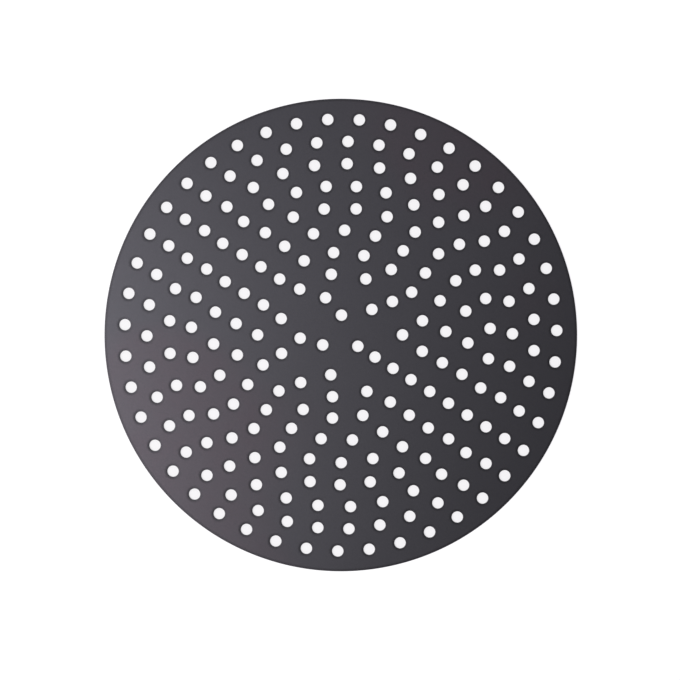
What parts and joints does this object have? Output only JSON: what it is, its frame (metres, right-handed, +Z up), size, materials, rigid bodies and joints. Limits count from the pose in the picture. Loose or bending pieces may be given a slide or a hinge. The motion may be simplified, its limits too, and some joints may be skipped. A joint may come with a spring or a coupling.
{
  "type": "pizza pan",
  "caption": "Flat round perforated pizza pan without a rim: a thin dark anodised aluminium disc with concentric rings of round steam holes.",
  "frame": {"origin": "middle of the underside, the flat face that rests on the oven rack", "axes": "+Z up, out of the face that carries the pizza; +X along the radial line on which every ring has a hole"},
  "size_m": [0.4063, 0.4064, 0.0016],
  "materials": {
    "hard_coat": "satin"
  },
  "bodies": {
    "root": {"perforated_disc": "hard_coat"}
  },
  "joints": []
}
